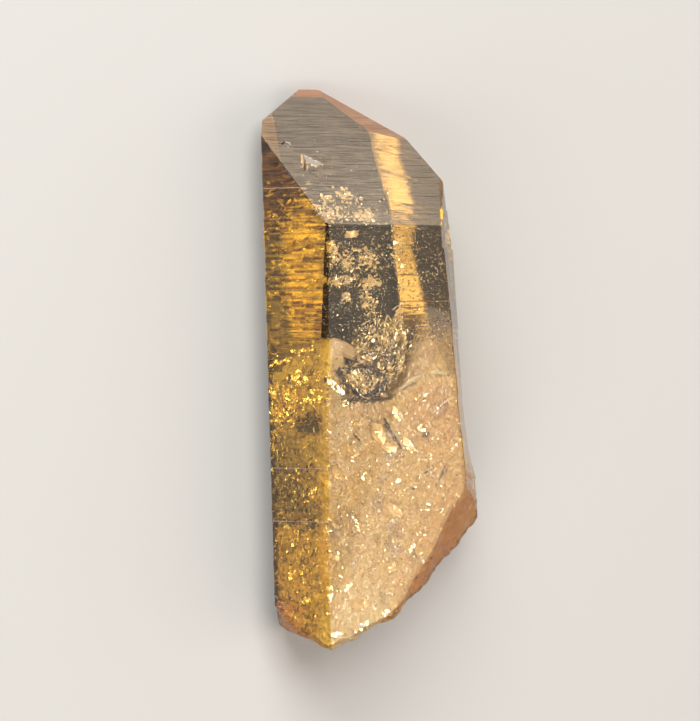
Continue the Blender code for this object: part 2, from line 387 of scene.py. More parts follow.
def kinds_of(face):
    """The shares of each kind of surface on a face, by where it is and which way it faces."""
    normal = face.normal
    lower = normal.z < -0.3
    if on_break(face):
        return {"broken": 1.0}
    if in_pit(face):
        return {"worn": 1.0}
    if abs(normal.x) < 0.01 and 0.2 < normal.y < 0.5:  # the worn edge between the top and the tip face
        return {"worn": 0.06}
    # Painted shade: the faces the crystal lies on are marked to be painted nearly black.
    if normal.dot(TOP) < -FLAT:
        return {"painted_shade_under": 1.0}
    if lower and normal.x < -0.5:
        return {"painted_shade_under": 1.0, "striated": 0.2}
    if normal.dot(TOP) > FLAT:
        return {"pitted": 1.0, "coated": 0.1}
    if normal.dot(TIP) > FLAT:
        return {"coated": 0.55, "striated": 0.2}
    if normal.y > 0.5:  # the small faces of the tip
        return {"frosted_with_painted_glow": 1.0} if lower else {"coated": 0.4, "frosted_with_painted_glow": 0.25}
    return {"striated": 0.25 if lower else 1.0, "golden": 1.0}


def mark_faces(bm):
    """Stores the shares on the faces, where the material reads them."""
    layers = {name: bm.faces.layers.float.new(name) for name in FACE_KINDS}
    for face in bm.faces:
        for name, share in kinds_of(face).items():
            face[layers[name]] = share


# Growth terraces on a face: its azimuth and tilt, where they start and end along Y, how long a flat and
# the riser between two flats are, how deep they go and how wide they are across. Lengths in mm.
TERRACE_LEVELS = 3
TERRACES = (
    (300.0, 0.0, (16.0, -52.0), (0.14, 0.55), 0.11, 0.060, 1.3),
    (0.0, RHOMB_TILT, (14.5, 1.5), (0.10, 0.70), 0.05, 0.014, 2.6),
)


def cut_rows(bm, normal, places, direction):
    """Cuts the faces that face one way along planes through places, across a direction."""
    for place in places:
        faces = [f for f in bm.faces if f.normal.dot(normal) > SAME_FACE]
        around = {e for f in faces for e in f.edges}
        corners = {v for f in faces for v in f.verts}
        geom = [*faces, *around, *corners]
        bmesh.ops.bisect_plane(bm, geom=geom, dist=1e-8, plane_co=place, plane_no=direction)


def add_terraces(bm, azimuth, tilt, reach, flats, riser, depth, width):
    """Steps a face down in flats that lie across the crystal. The steps only ever go inwards."""
    rng = random.Random(round(azimuth))
    normal, along = normal_of(azimuth, tilt), Vector((0.0, 1.0, 0.0))
    across = along.cross(normal).normalized()
    rows, y = [], reach[0]
    while y > reach[1]:
        length = rng.uniform(*flats)
        rows.append((y, y - length))
        y -= length + riser
    faces = [f for f in bm.faces if f.normal.dot(normal) > SAME_FACE]
    spread = [across.dot(to_mm(v.co)) for f in faces for v in f.verts]
    first, last = min(spread), max(spread)
    columns = max(1, round((last - first) / width))
    step = (last - first) / columns
    borders = [first + step * (i + rng.uniform(-0.3, 0.3)) for i in range(1, columns)]
    cut_rows(bm, normal, [at(0.0, y, 0.0) for row in rows for y in row], along)
    cut_rows(bm, normal, [at(*(across * u)) for u in borders], across)

    knots = [first, *borders, last]
    level = depth / TERRACE_LEVELS
    heights = [[round(TERRACE_LEVELS * rng.random()) * level for _ in knots] for _ in rows]

    def sunk(y, u):
        for i, (upper, lower) in enumerate(rows):
            if y >= lower:
                break
        share = 0.0 if y <= upper else min((y - upper) / riser, 1.0)
        for j in range(1, len(knots)):
            if u <= knots[j]:
                break
        t = min(max((u - knots[j - 1]) / (knots[j] - knots[j - 1]), 0.0), 1.0)
        here, above = (row[j - 1] * (1 - t) + row[j] * t for row in (heights[i], heights[max(i - 1, 0)]))
        return here * (1 - share) + above * share

    corners = {v for f in bm.faces if f.normal.dot(normal) > SAME_FACE for v in f.verts}
    for vert in corners:
        p = to_mm(vert.co)
        if reach[1] < p.y < reach[0]:
            vert.co -= normal * sunk(p.y, across.dot(p)) * MM


# Splinters of the break: their size, their height and the most a corner may sink, all in mm.
SPLINTER_SIZE, SPLINTER_HEIGHT, SPLINTER_LIMIT = 0.8, 0.16, 0.3
SETTLING_ROUNDS = 20  # until a corner's step lies in every flat face round it


def roughen_break(bm):
    """Gives the break a fine, splintery surface, which only ever goes inwards. The flat faces stay flat."""
    broken = bm.faces.layers.float["broken"]
    edges = {e for f in bm.faces if f[broken] > 0.5 for e in f.edges}
    bmesh.ops.subdivide_edges(bm, edges=list(edges), cuts=2, use_grid_fill=True)
    bm.normal_update()
    corners = {v for f in bm.faces if f[broken] > 0.5 for v in f.verts}
    for vert in corners:
        p = to_mm(vert.co)
        splinter = abs(noise.fractal(p / SPLINTER_SIZE, 0.9, 2.2, 4)) * SPLINTER_HEIGHT
        splinter += abs(crumple(p, 1.3, 0.12))
        step = vert.normal * min(splinter, SPLINTER_LIMIT) * MM
        flat = [f.normal.copy() for f in vert.link_faces if f[broken] < 0.5]
        for normal in SETTLING_ROUNDS * flat:
            step -= normal * step.dot(normal)
        vert.co -= step


def crystal_mesh():
    bm = cad_mesh()
    mark_faces(bm)
    for terrace in TERRACES:
        add_terraces(bm, *terrace)
    roughen_break(bm)
    bmesh.ops.triangulate(bm, faces=bm.faces)
    return bm


# ---- Inside the root half ----


def smooth(low, high, value):
    """Goes softly from 0 to 1 while a value goes from low to high."""
    t = min(max((value - low) / (high - low), 0.0), 1.0)
    return t * t * (3 - 2 * t)


def fracture(x, z):
    """The main fracture across the crystal, as Y in mm over (x, z): a dome on the left, a deep hollow in the
    middle and a shoulder on the right that reaches furthest deep inside."""
    depth = THICKNESS - z
    dome = -13.8 - 2.4 * smooth(-0.5, -5.2, x) - 0.4 * max(0.0, depth - 1.0) * smooth(3.0, 0.0, x)
    hollow = -7.9 * smooth(1.9, 3.1, x - 0.1 * depth)
    shoulder = 1.2 * smooth(8.6, 9.6, x) + 2.2 * smooth(9.6, 13.4, x) - 0.7 * smooth(15.0, 18.0, x)
    shoulder += 4.4 * smooth(1.5, 3.0, depth) * math.exp(-(((x - 14.3) / 2.3) ** 2))
    rough = 0.15 + 0.7 * smooth(1.0, 4.0, x)
    return dome + hollow + shoulder + rough * noise.fractal(Vector((x, 0.0, z)) / 1.8, 0.7, 2.1, 4)


# The milky heart: its middle, and how many mm it stays under the top face, under that face near the fracture
# and the faces on the right, under the faces on the left, and under the break.
HEART_MIDDLE = Vector((8.0, -34.0, 7.4))
TOP_INSET, FRONT_INSET, LEFT_INSET, BREAK_INSET = 1.1, 0.45, 0.7, 0.5
LEAST_INSET = 0.2
SEARCH_STEPS = 12  # of halving the way to the fracture
RIPPLE = 1.1  # mm from one ripple of the dome to the next


def heart_reach(tree, way):
    """How far the milky heart goes from its middle, in mm: to just under the surface or the fracture."""
    hit, normal, _, distance = tree.ray_cast(at(*HEART_MIDDLE), way)
    end = to_mm(hit)
    inset = LEFT_INSET if normal.x < -0.5 else FRONT_INSET
    if normal.z > 0.9:
        inset += (TOP_INSET - FRONT_INSET) * smooth(0.6, 2.6, fracture(end.x, end.z) - end.y)
    if abs(normal.y) > 0.2:
        inset = BREAK_INSET
    reach = distance / MM - inset / max(abs(normal.dot(way)), 0.35)
    end = HEART_MIDDLE + way * reach
    if end.y < fracture(end.x, end.z):
        return reach
    near, far = 0.0, reach
    for _ in range(SEARCH_STEPS):
        halfway = (near + far) / 2
        p = HEART_MIDDLE + way * halfway
        past = p.y > fracture(p.x, p.z)
        near, far = (near, halfway) if past else (halfway, far)
    return near


def crumple(p, size, tilt):
    """The height of a crumpled surface at a place: flat facets of a size in mm, each tilted its own way."""
    middle = noise.voronoi(p / size)[1][0]
    lean = noise.cell_vector(middle * 7.3) * 2.0 - Vector((1.0, 1.0, 1.0))
    return (p / size - middle).dot(lean) * size * tilt


# Where the crushed quartz takes on another tone: its colour, place, reach in mm and strength.
CRUSHED_TONE = "FDDC84"
TONES = (
    ("FCE0B4", (2.0, -27.5, 14.0), 4.5, 4),
    ("FAD67A", (10.0, -33.0, 14.0), 7.0, 4),
    ("FBDA9C", (2.5, -36.0, 14.0), 4.0, 4),
    ("FEEAB0", (5.0, -49.5, 13.0), 5.0, 4),
    ("E8AE54", (17.0, -34.0, 12.0), 4.0, 4),
    ("E8AE54", (15.0, -23.5, 13.0), 3.8, 5),
    ("ECAE5C", (16.0, -41.0, 12.0), 3.6, 4),
    ("F6C274", (11.5, -45.5, 12.0), 3.2, 4),
    ("FAD698", (0.5, -15.4, 14.0), 2.8, 4),
    ("F4C478", (14.3, -14.6, 11.0), 3.0, 6),
    ("D8A060", (14.6, -15.8, 12.0), 0.9, 8),
    # Painted shade: the walls of the hollow are a darker tan.
    ("E0B478", (5.6, -21.8, 13.0), 2.4, 6),
    ("FFCC68", (-4.0, -42.0, 10.0), 6.0, 4),
    ("FFDC84", (-3.2, -17.5, 11.0), 2.6, 4),
    ("FFCC60", (-3.7, -22.3, 10.0), 1.9, 9),
    ("8C6226", (-1.0, -24.6, 13.0), 0.9, 12),
    ("8A6A34", (-4.8, -27.6, 8.5), 2.0, 14),
    ("9C7434", (-2.2, -30.0, 12.0), 1.6, 8),
    ("6C4C20", (-4.0, -33.0, 10.0), 2.0, 20),
    ("7C5824", (-1.6, -35.4, 12.5), 1.4, 14),
    ("FFD878", (-2.2, -42.5, 11.0), 3.0, 4),
    ("FFB048", (-3.5, -49.8, 9.0), 3.2, 6),
)


def crushed_tone(p):
    """The crushed quartz's colour at a place, as the plain tone blended with those near by."""
    total = Vector(colour(CRUSHED_TONE)[:3])
    weights = 1.0
    for code, place, size, strength in TONES:
        away = (p - Vector(place)).length / size
        weight = strength * math.exp(-away * away)
        total += Vector(colour(code)[:3]) * weight
        weights += weight
    return total / weights * min(0.985 + 0.05 * noise.fractal(p / 1.7, 0.8, 2.1, 4), 1.0)


def crazing(p):
    """How crazed the crushed quartz is at a place: little behind the dome, fully further in."""
    past_front = fracture(p.x, p.z) - p.y
    return 1.0 - 0.85 * smooth(4.5, 2.5, p.x) * smooth(4.0, 1.5, past_front)


def milky_heart(tree, mat):
    """The crushed root half: a closed, lumpy body under the crystal's faces. Its dome is only rippled."""
    bm = bmesh.new()
    bmesh.ops.create_icosphere(bm, subdivisions=7, radius=1.0)
    shade = bm.verts.layers.float_color.new(SHADE)
    crazed = bm.verts.layers.float.new(CRAZING)
    for vert in bm.verts:
        way = vert.co.normalized()
        p = HEART_MIDDLE + way * heart_reach(tree, way)
        amount = crazing(p)
        ripple = math.sin(2 * math.pi * (fracture(p.x, p.z) - p.y) / RIPPLE) * (1.0 - amount)
        rough = 0.15 * noise.fractal(p / 1.1, 0.8, 2.2, 4) + crumple(p, 1.9, 0.12)
        rough += crumple(p, 0.8, 0.28) + crumple(p, 0.4, 0.3)
        p -= way * (0.1 + amount * rough + 0.07 * ripple)
        while inside_depth(tree, p) < LEAST_INSET:
            p -= way * 0.3
        vert.co = at(*p)
        vert[shade] = (*crushed_tone(p), 1.0)
        vert[crazed] = amount
    add_piece("milky_heart", bm, mat)


BULGE, WARP = 0.05, 0.12  # of a lens-thin crack's middle and rim, as shares of its radius


def add_flake(bm, centre, normal, radius, rng, slimness, sides=6):
    """Adds one closed, lens-thin crack with a ragged rim. Sizes are in mm, slimness is a range."""
    side = normal.orthogonal().normalized()
    other = normal.cross(side)
    turn = rng.uniform(0, 2 * math.pi)
    spin = Matrix.Rotation(turn, 2)
    stretch = rng.uniform(*slimness)
    rim = []
    for i in range(sides):
        a = turn + 2 * math.pi * i / sides
        r = radius * rng.uniform(0.45, 1.0)
        u, v = spin @ Vector((r * math.cos(a), r * stretch * math.sin(a)))
        warp = rng.uniform(-WARP, WARP) * radius
        rim.append(bm.verts.new(at(*(centre + side * u + other * v + normal * warp))))
    over, below = (bm.verts.new(at(*(centre + normal * (share * radius)))) for share in (BULGE, -BULGE))
    for i in range(sides):
        j = (i + 1) % sides
        bm.faces.new((rim[i], rim[j], over))
        bm.faces.new((rim[j], rim[i], below))


# Bent cracks flatten out above a height just under the top face, over this many mm.
CEILING, FLATTENING = 14.2, 0.6
SHEET_PARTS = (18, 4)  # round a bent crack and from its middle to its rim


def add_sheet(bm, centre, normal, radius, rng, stretch=0.6, bend=0.25, along=None, rumple=0.0, fine=1):
    """Adds one large bent crack: a closed thin shell whose rim is ragged. Sizes are in mm."""
    along = Vector((rng.uniform(-1, 1), rng.uniform(-1, 1), 0.0)) if along is None else along
    side = (along - normal * along.dot(normal)).normalized()
    other = normal.cross(side)
    around, rings = (round(parts * fine) for parts in SHEET_PARTS)
    seed = Vector((rng.random(), rng.random(), rng.random())) * 50.0

    def spot(k, i, face):
        a = 2 * math.pi * i / around
        ragged = 1.0 + 0.5 * noise.noise(seed + Vector((math.cos(a), math.sin(a), 0.0)) * 2.6)
        r = radius * ragged * k / rings
        u, v = r * math.cos(a), r * stretch * math.sin(a)
        q = seed + Vector((u, v, 0.0))
        lift = bend * (u * u - v * v) / radius + 0.1 * radius * noise.noise(q)
        lift += rumple * (abs(noise.noise(q / 0.9)) + 0.5 * abs(noise.noise(q / 0.4)))
        thick = face * 0.012 * min(radius, 2.0) * (1.0 - (k / rings) ** 2)
        p = centre + side * u + other * v + normal * (lift + thick)
        if p.z > CEILING:
            p.z = CEILING + FLATTENING * math.tanh((p.z - CEILING) / FLATTENING)
        return at(*p)

    rim = [bm.verts.new(spot(rings, i, 0.0)) for i in range(around)]
    for face in (1.0, -1.0):
        loops = [[bm.verts.new(spot(k, i, face)) for i in range(around)] for k in range(1, rings)] + [rim]
        middle = bm.verts.new(spot(0, 0, face))
        for i in range(around):
            j = (i + 1) % around
            bm.faces.new((middle, loops[0][i], loops[0][j]))
            for inner, outer in zip(loops, loops[1:]):
                bm.faces.new((inner[i], outer[i], outer[j], inner[j]))


# A band's parts along and across, how far it arches up for its half width, and its thickness in mm.
BAND_STEPS, BAND_PARTS = 40, 12
BAND_RISE, BAND_THICKNESS = 0.25, 0.03


def add_band(bm, path):
    """Adds a closed thin band along a path of (x, y, z, half width), arched across. All in mm."""
    def along_path(t):
        place = t * (len(path) - 1)
        i = min(int(place), len(path) - 2)
        part = (smooth(0.0, 1.0, place - i) + place - i) / 2
        return [first * (1 - part) + second * part for first, second in zip(path[i], path[i + 1])]

    spine = [along_path(k / BAND_STEPS) for k in range(BAND_STEPS + 1)]
    ends = [bm.verts.new(at(*spine[k][:3])) for k in (0, -1)]
    rows = {1.0: [], -1.0: []}
    for k in range(1, BAND_STEPS):
        middle, half = Vector(spine[k][:3]), spine[k][3]
        ahead = Vector(spine[k + 1][:3]) - Vector(spine[k - 1][:3])
        side = Vector((-ahead.y, ahead.x, 0.0)).normalized()
        half *= 1.0 + 0.25 * noise.noise(middle / 0.7)
        edges = [bm.verts.new(at(*(middle + side * half * u))) for u in (-1.0, 1.0)]
        for face, lines in rows.items():
            line = [edges[0]]
            for i in range(1, BAND_PARTS):
                u = 2.0 * i / BAND_PARTS - 1.0
                p = middle + side * half * u
                crease = 0.04 * math.sin(9.0 * u + 2.0 * noise.noise(p / 1.5))
                p.z += (1.0 - u * u) * (BAND_RISE * half + face * BAND_THICKNESS + crease)
                line.append(bm.verts.new(at(*p)))
            lines.append(line + [edges[1]])
    for lines in rows.values():
        for first, second in zip(lines, lines[1:]):
            for i in range(BAND_PARTS):
                bm.faces.new((first[i], first[i + 1], second[i + 1], second[i]))
        for end, line in zip(ends, (lines[0], lines[-1])):
            for i in range(BAND_PARTS):
                bm.faces.new((end, line[i], line[i + 1]))


UP = Vector((0.0, 0.0, 1.0))
NUDGE = 1e-7  # past a face that a ray has met, in metres


def inside_depth(tree, p):
    """How deep a place lies under the crystal's surface, in mm, or less than 0 outside it."""
    start, crossings = at(*p), 0
    depth = tree.find_nearest(start)[3] / MM
    hit = tree.ray_cast(start, UP)[0]
    while hit is not None:
        crossings += 1
        hit = tree.ray_cast(hit + UP * NUDGE, UP)[0]
    return depth if crossings % 2 else -depth


def surface_height(y):
    """The height of the top face or the tip face, in mm."""
    return min(THICKNESS, THICKNESS - y / TIP_RUN)


def leaning(rng, least, most, axis=UP):
    """A random direction that leans between two angles from an axis."""
    lean = math.radians(rng.uniform(least, most))
    turn = rng.uniform(0, 2 * math.pi)
    way = Vector((math.sin(lean) * math.cos(turn), math.sin(lean) * math.sin(turn), math.cos(lean)))
    return axis.to_track_quat("Z", "Y") @ way


def directions(turn):
    """Along and across a direction in (x, y), given in degrees."""
    along = Vector((math.cos(math.radians(turn)), math.sin(math.radians(turn)), 0.0))
    return along, Vector((-along.y, along.x, 0.0))


def pick(rng, cracks, shares):
    """One of the crack meshes, drawn by the shares of CRACK_KINDS."""
    return cracks[rng.choices(CRACK_KINDS, shares)[0]]


# A crack that faces one of these ways mirrors a soft light to whoever looks down on the crystal, through
# its top face, its tip face or its striated side.
FACING_TOP = Vector((-0.235, 0.21, 0.95)).normalized()
FACING_TIP = Vector((-0.19, 0.36, 0.91)).normalized()
FACING_SIDE = Vector((-0.64, 0.19, 0.74)).normalized()
SIDE_EDGE = -0.2  # the striated side begins left of this X


def glinting(p):
    """The way a crack at a place faces to glint."""
    if p.x < SIDE_EDGE:
        return FACING_SIDE
    return FACING_TIP if p.y > 0.0 else FACING_TOP


def under(tree, x, y, depth):
    """The place a depth in mm from the surface over (x, y), or one outside if there's none."""
    hit, normal, _, _ = tree.ray_cast(at(x, y, 2.0 * THICKNESS), -UP)
    if hit is None:
        return Vector((x, y, -1.0))
    return Vector((x, y, to_mm(hit).z - depth / max(abs(normal.z), 0.3)))


def has_room(tree, spot, radius):
    """Whether a leaning crack of a radius fits inside the crystal at a place."""
    return inside_depth(tree, spot) > 0.05 + 0.4 * radius


SKIN_CRACKS, SKIN_SHEETS = 13000, 120  # how many


def skin_place(tree, rng, spans, depths, behind):
    """A random place in the clear skin over the crushed heart, and its depth. All in mm."""
    while True:
        p = Vector([rng.uniform(*span) for span in spans])
        depth = inside_depth(tree, p)
        if depths[0] <= depth <= depths[1] and fracture(p.x, p.z) - p.y >= behind:
            return p, depth


def skin_cracks(tree, rng, cracks):
    """Glittering little cracks in the clear skin over the crushed heart, fewest behind the dome."""
    made = 0
    while made < SKIN_CRACKS:
        p, depth = skin_place(tree, rng, ((-5.2, 19.5), (-53.0, -13.0), (3.0, 14.9)), (0.1, 1.2), 0.2)
        radius = 0.06 + 0.5 * rng.random() ** 4
        if depth < radius * 0.8 or rng.random() > crazing(p):
            continue
        to = pick(rng, cracks, (0.02, 0.55, 0.42, 0.01))
        lean = leaning(rng, 0.0, 60.0) if rng.random() < 0.3 else leaning(rng, 0.0, 16.0, glinting(p))
        add_flake(to, p, lean, radius, rng, (0.08, 0.45), 5)
        made += 1


def skin_sheets(tree, rng, cracks):
    """Larger cracks that cross the clear skin at a slant, and overlap like panes of broken glass."""
    made = 0
    while made < SKIN_SHEETS:
        p, depth = skin_place(tree, rng, ((-5.0, 18.0), (-52.0, -14.0), (5.0, 14.6)), (0.45, 1.3), 0.3)
        radius = rng.uniform(0.5, 1.5)
        lean = leaning(rng, 4.0, 16.0 if radius > 0.9 else 35.0)
        if depth < 0.35 * radius or rng.random() > crazing(p):
            continue
        add_sheet(cracks["open" if rng.random() < 0.5 else "healed"], p, lean, radius, rng, rumple=0.1)
        made += 1


# Clouds of flecks in the clear tip half: middle on the surface, depth under it, reach across and along the
# crystal, all in mm, and how many groups of FLECK_GROUP they have.
FLECK_GROUP = 6
FLECK_CLOUDS = (
    ((0.9, -3.5), 0.9, (0.6, 1.2), 34),
    ((2.7, -4.5), 1.4, (0.6, 1.1), 30),
    ((5.4, -4.0), 1.2, (1.3, 1.0), 46),
    ((1.9, -6.9), 1.0, (1.6, 0.5), 40),
    ((5.8, -7.0), 1.6, (0.9, 0.6), 26),
    ((2.5, -8.9), 1.2, (0.5, 0.4), 12),
    ((5.5, -9.4), 1.8, (0.7, 1.2), 34),
    ((0.8, 1.4), 0.8, (2.0, 1.0), 60),
    ((5.3, 0.9), 0.9, (1.4, 0.6), 40),
    ((3.7, 3.4), 1.2, (1.1, 0.7), 26),
    ((0.9, 3.1), 0.8, (0.7, 0.3), 10),
    ((9.2, -4.0), 3.0, (1.0, 3.5), 24),
)
# Single flecks that lie flat: their middle on the surface, depth and radius in mm, slimness, and direction
# in (x, y) in degrees.
FLAT_FLECKS = (
    ((-0.1, 5.0), 0.5, 1.05, 0.3, 4),
    ((3.4, -1.1), 0.6, 1.0, 0.45, 8),
    ((7.6, -19.0), 1.2, 0.5, 0.4, 70),
)
# Fine dust in the quartz: from and to in (x, y), how many grains, and how deep they go in mm.
DUST = (
    ((0.2, -14.0), (8.2, -0.4), 2400, 1.2),
    ((12.0, -15.0), (16.8, -0.6), 1100, 0.6),
    ((8.2, -14.0), (12.0, 8.0), 60, 1.5),
    ((-4.0, 0.6), (14.0, 13.0), 350, 1.5),
)


def dust(tree, rng, cracks):
    for low, high, number, deepest in DUST:
        for _ in range(number):
            x, y = rng.uniform(low[0], high[0]), rng.uniform(low[1], high[1])
            spot = Vector((x, y, surface_height(y) - rng.uniform(0.15, deepest)))
            if inside_depth(tree, spot) < 0.12:
                continue
            to = pick(rng, cracks, (0.15, 0.55, 0.3, 0.0))
            radius = 0.03 + 0.13 * rng.random() ** 3
            way = leaning(rng, 0.0, 22.0, glinting(spot))
            add_flake(to, spot, way, radius, rng, (0.1, 0.8))


RIM_SPACING = 0.035  # mm from one rim crack to the next, on average


def pit_rims(solid, rng, cracks):
    """Little cracks just under the rims of the larger pits, where the faces are worn."""
    for edge in solid.edges:
        faces = edge.link_faces
        if len(faces) != 2 or sum(in_pit(f) for f in faces) != 1:
            continue
        if max(f.normal.dot(TIP) for f in faces) < SAME_FACE:
            continue
        start, end = (to_mm(v.co) for v in edge.verts)
        for _ in range(round((end - start).length / RIM_SPACING)):
            spot = start.lerp(end, rng.random()) - TIP * rng.uniform(0.12, 0.3)
            spot += Vector((rng.uniform(-0.2, 0.2), rng.uniform(-0.2, 0.2), 0.0))
            way = leaning(rng, 0.0, 8.0, FACING_TIP)
            add_flake(cracks["healed"], spot, way, rng.uniform(0.08, 0.18), rng, (0.4, 1.0))


SIGHT_SHIFT = 0.26  # mm in X for each mm of depth, as the camera looks down aslant


def fleck_clouds(rng, cracks):
    """Small clouds of bright flecks: old cracks that healed and left tiny gaps."""
    for (x, y), depth, (across, along), number in FLECK_CLOUDS:
        plane = leaning(rng, 2.0, 16.0, FACING_TIP if y > 0.0 else FACING_TOP)
        for _ in range(FLECK_GROUP * number):
            dx, dy = rng.gauss(0.0, 0.7) * across, rng.gauss(0.0, 0.7) * along
            z = surface_height(y + dy) - depth - (plane.x * dx + plane.y * dy) / plane.z
            spot = Vector((x + dx + SIGHT_SHIFT * depth, y + dy, z))
            to = pick(rng, cracks, (0.1, 0.75, 0.15, 0.0))
            radius = 0.06 + 0.36 * rng.random() ** 3
            add_flake(to, spot, leaning(rng, 0.0, 24.0, plane), radius, rng, (0.3, 1.0))
    for (x, y), depth, radius, slimness, turn in FLAT_FLECKS:
        spot = Vector((x, y, surface_height(y) - depth))
        along, _ = directions(turn)
        add_sheet(cracks["healed"], spot, glinting(spot), radius, rng, slimness, 0.3, along)


# The rumpled walls of the main fracture: middle, the way they face, radius in mm, slimness and rumple.
FRACTURE_WALLS = (
    ((5.9, -18.9, 13.2), (0.1, 0.55, 0.83), 3.6, 0.62, 0.34),
    ((6.5, -17.6, 12.2), (-0.35, -0.45, 0.82), 3.6, 0.6, 0.4),
    ((7.8, -14.4, 12.8), (-0.4, 0.45, 0.8), 3.3, 0.8, 0.36),
    ((9.6, -13.0, 13.4), (0.5, -0.1, 0.86), 2.2, 0.8, 0.3),
    ((5.0, -15.4, 13.6), (0.35, 0.5, 0.79), 1.9, 0.6, 0.28),
)
# The dome's tan lip, arched over the hollow, and the ridge of the shoulder on the right, whose pale tone is
# a painted highlight. Each is a path of (x, y, z, half width) in mm, and has its tone and how crazed it is.
DOME_LIP = (
    (-0.4, -14.5, 13.2, 0.0),
    (0.9, -14.7, 13.9, 0.8),
    (2.2, -15.1, 14.1, 1.0),
    (3.3, -15.7, 14.1, 0.8),
    (4.5, -16.4, 14.0, 0.5),
    (5.7, -17.3, 14.0, 0.3),
    (6.9, -18.5, 14.0, 0.22),
    (7.8, -19.4, 13.9, 0.18),
    (8.8, -20.4, 13.2, 0.0),
)
RIDGE_WITH_PAINTED_HIGHLIGHT = (
    (8.9, -20.9, 13.2, 0.0),
    (10.0, -20.3, 13.9, 0.15),
    (11.2, -19.4, 14.1, 0.25),
    (12.4, -18.8, 14.1, 0.25),
    (13.8, -18.4, 14.1, 0.28),
    (15.2, -18.1, 14.1, 0.25),
    (16.4, -18.4, 13.9, 0.2),
    (17.3, -18.8, 13.0, 0.0),
)
LIPS = ((DOME_LIP, "F0C88E", 0.12), (RIDGE_WITH_PAINTED_HIGHLIGHT, "FFF2C4", 0.5))
# Splinters that lie in streams: the shares of their kinds, middle (x, y), reach along and across, direction
# in degrees, how many, and the largest radius. Lengths in mm.
DARK, GOLD, MIXED = (0.05, 0.15, 0.0, 0.8), (0.0, 0.62, 0.36, 0.02), (0.04, 0.54, 0.12, 0.30)
SILK = (0.0, 0.9, 0.0, 0.1)
SPLINTER_FINENESS = 0.5  # of their mesh
STREAMS = (
    (DARK, (3.7, -17.3), 1.9, 0.3, 14, 60, 0.7),
    (DARK, (6.5, -18.1), 1.3, 0.32, -35, 50, 0.7),
    (DARK, (7.6, -19.8), 1.1, 0.4, -82, 50, 0.7),
    (DARK, (6.2, -21.1), 1.7, 0.35, 24, 60, 0.7),
    (DARK, (3.8, -21.6), 1.6, 0.25, 8, 44, 0.6),
    (DARK, (2.3, -19.2), 1.5, 0.3, -66, 44, 0.6),
    (GOLD, (4.6, -19.4), 1.6, 0.5, -48, 80, 0.5),
    (GOLD, (6.0, -19.5), 1.2, 0.6, 35, 60, 0.4),
    (GOLD, (3.4, -18.6), 0.7, 0.4, 70, 30, 0.4),
    (MIXED, (8.8, -18.4), 2.0, 0.6, 52, 80, 0.5),
    (MIXED, (10.3, -15.5), 2.6, 0.6, 74, 80, 0.5),
    (MIXED, (6.0, -14.2), 1.7, 0.9, 60, 90, 0.5),
    (MIXED, (8.0, -14.6), 3.2, 0.8, 80, 110, 0.5),
    (MIXED, (5.0, -16.2), 1.2, 0.5, -20, 50, 0.4),
    (DARK, (11.4, -14.0), 1.6, 0.4, 66, 50, 0.5),
    (GOLD, (9.9, -11.8), 2.4, 0.3, 84, 50, 0.5),
    (GOLD, (-2.6, -4.0), 2.6, 5.5, 0, 90, 0.5),
    (SILK, (-2.4, -1.0), 2.4, 3.5, 0, 170, 0.6),
    (SILK, (-2.6, -8.0), 2.6, 3.0, 0, 110, 0.6),
    (GOLD, (-2.4, -16.4), 2.2, 0.7, 24, 60, 0.3),
    (GOLD, (-0.8, -18.8), 1.0, 0.8, 60, 50, 0.4),
    (GOLD, (-3.2, -21.6), 1.8, 0.8, 88, 150, 0.6),
    (GOLD, (-3.6, -24.0), 1.4, 0.6, 2, 110, 0.5),
    (DARK, (-1.2, -24.2), 0.9, 0.35, 4, 40, 0.4),
    (MIXED, (-4.2, -28.0), 2.6, 0.6, 90, 150, 0.35),
    (MIXED, (-2.0, -32.6), 3.2, 0.9, 90, 150, 0.35),
    (DARK, (-2.8, -36.8), 2.2, 0.35, 0, 60, 0.5),
    (GOLD, (-1.6, -41.0), 3.6, 0.8, 90, 110, 0.4),
    (GOLD, (6.0, -50.2), 4.0, 0.4, 24, 120, 0.35),
)


def hollow_shards(tree, rng, cracks):
    """The main fracture's rumpled walls, and splinters that lie in streams."""
    for place, facing, radius, slimness, rumple in FRACTURE_WALLS:
        way = Vector(facing).normalized()
        add_sheet(cracks["open"], Vector(place), way, radius, rng, slimness, 0.12, rumple=rumple, fine=4)
    for shares, (x, y), reach, spread, turn, number, largest in STREAMS:
        along, across = directions(turn)
        for _ in range(number):
            ahead = (along + across * rng.gauss(0.0, 0.45)).normalized()
            spot = Vector((x, y, 0.0)) + along * rng.uniform(-reach, reach)
            spot += across * rng.gauss(0.0, spread)
            radius = rng.uniform(0.25, 1.0) * largest
            to = pick(rng, cracks, shares)
            deep = rng.uniform(0.1, 0.35) if spot.x < SIDE_EDGE else rng.uniform(0.2, 1.1)
            spot = under(tree, spot.x, spot.y, 0.4 * radius + deep)
            slimness = rng.uniform(0.15 if to is cracks["stained"] else 0.12, 0.45)
            way = leaning(rng, 0.0, 24.0, glinting(spot))
            if has_room(tree, spot, radius):
                bend = rng.uniform(-0.4, 0.4)
                add_sheet(to, spot, way, radius, rng, slimness, bend, ahead, fine=SPLINTER_FINENESS)


def fracture_lips(mat):
    """The feather edges in which the broken masses end over the clear quartz."""
    bm = bmesh.new()
    shade = bm.verts.layers.float_color.new(SHADE)
    crazed = bm.verts.layers.float.new(CRAZING)
    for path, tone, amount in LIPS:
        older = set(bm.verts)
        add_band(bm, path)
        for vert in bm.verts:
            if vert not in older:
                vert[shade] = colour(tone)
                vert[crazed] = amount
    bmesh.ops.recalc_face_normals(bm, faces=bm.faces)
    add_piece("fracture_lips", bm, mat)


